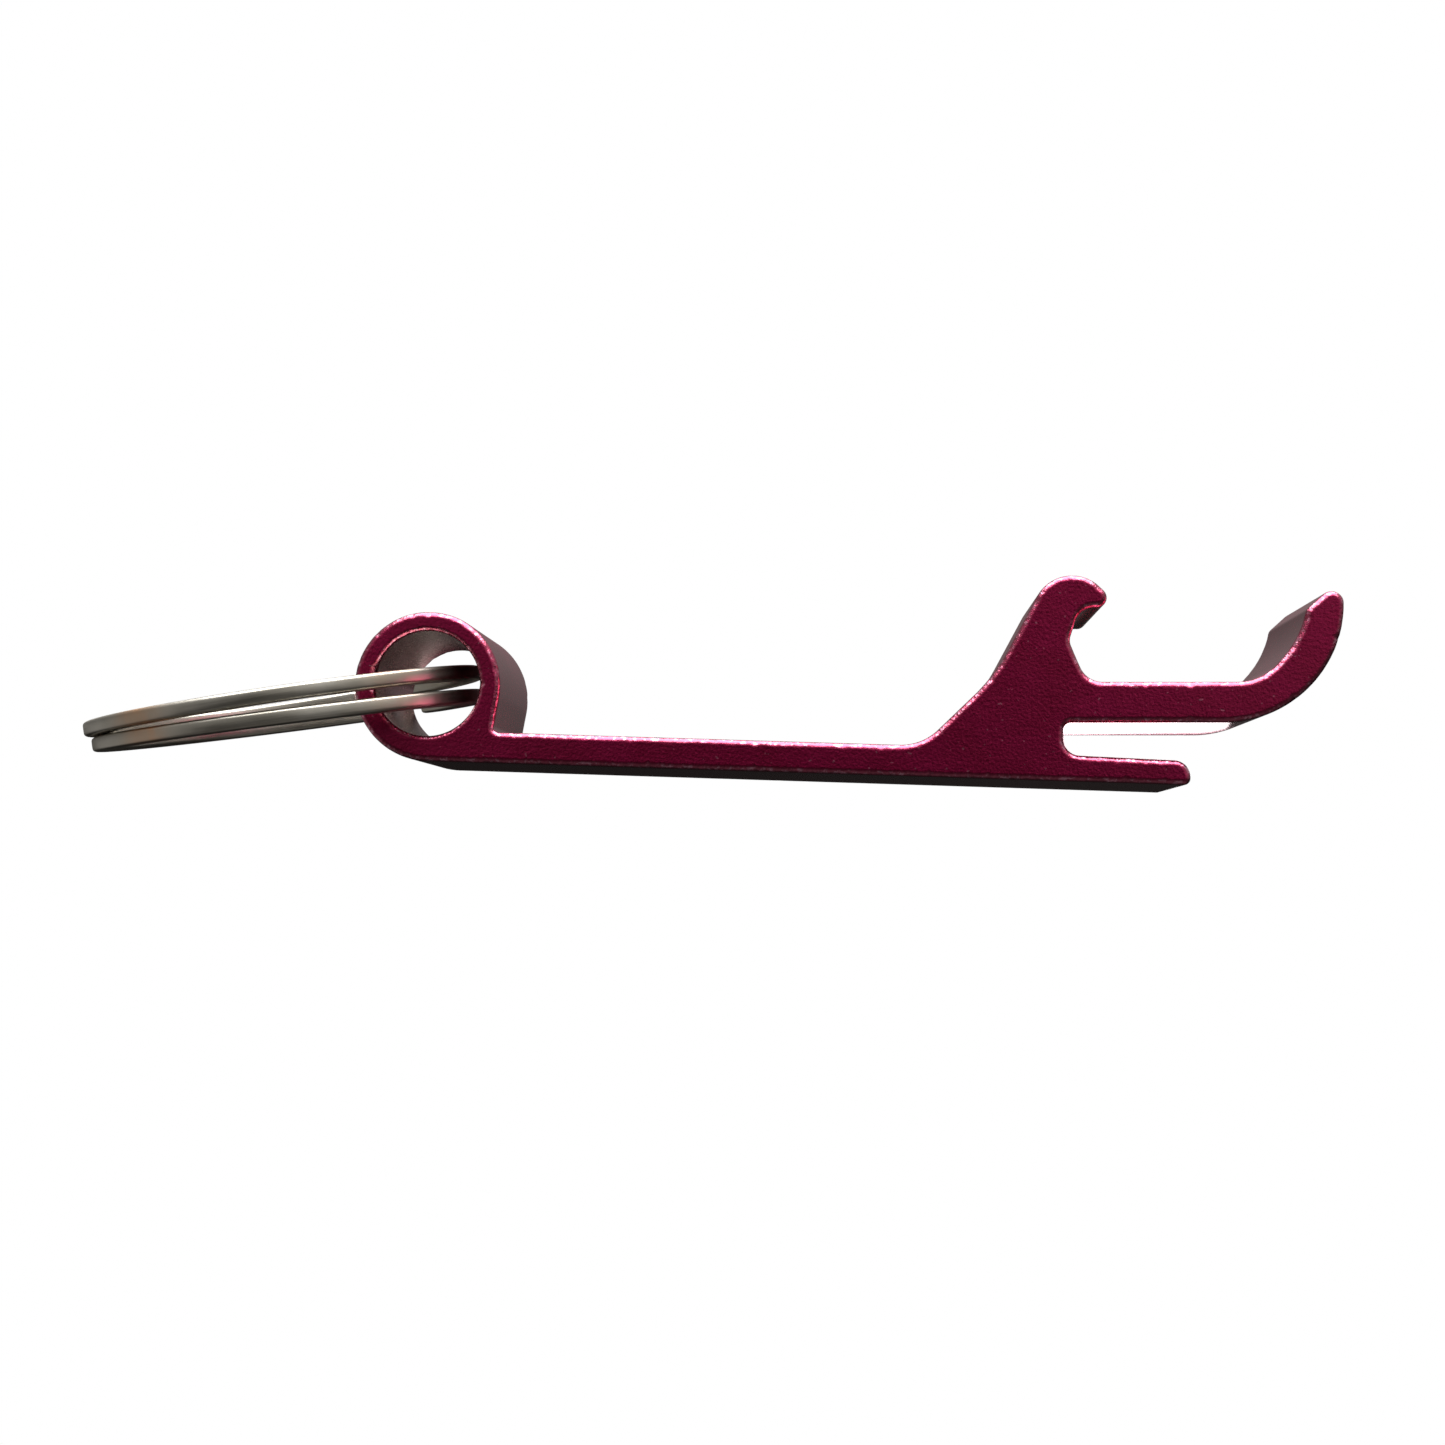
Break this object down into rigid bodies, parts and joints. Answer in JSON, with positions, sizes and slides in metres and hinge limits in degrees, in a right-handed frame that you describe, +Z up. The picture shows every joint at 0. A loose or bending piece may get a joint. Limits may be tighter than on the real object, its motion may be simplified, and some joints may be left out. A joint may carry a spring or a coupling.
{
  "type": "keychain bottle opener",
  "caption": "Pocket bottle opener: a bent flat aluminium profile with a cap-lifting hook, a can-tab slot and a barrel that carries a steel split key ring.",
  "frame": {"origin": "centre of the flat underside of the base, where the opener lies on a table", "axes": "+X from the key-ring barrel to the opening tip, +Z up from the underside, Y across the width"},
  "size_m": [0.0784, 0.0254, 0.0125],
  "materials": {
    "anodised_aluminium": "wine-red dyed anodising over a fine bead-blast grain, with edges worn to a bright pink",
    "nickel_steel": "nickel-plated spring steel, smooth, with a few warm stains"
  },
  "bodies": {
    "opener": {"opener_body": "anodised_aluminium"},
    "ring": {"split_ring": "nickel_steel"}
  },
  "joints": [
    {"name": "ring_swing", "type": "hinge", "parent": "opener", "child": "ring", "pos_m": [-0.02305, 0, 0.0048], "axis": [0, 1, 0], "range_deg": [-148, 188]}
  ]
}
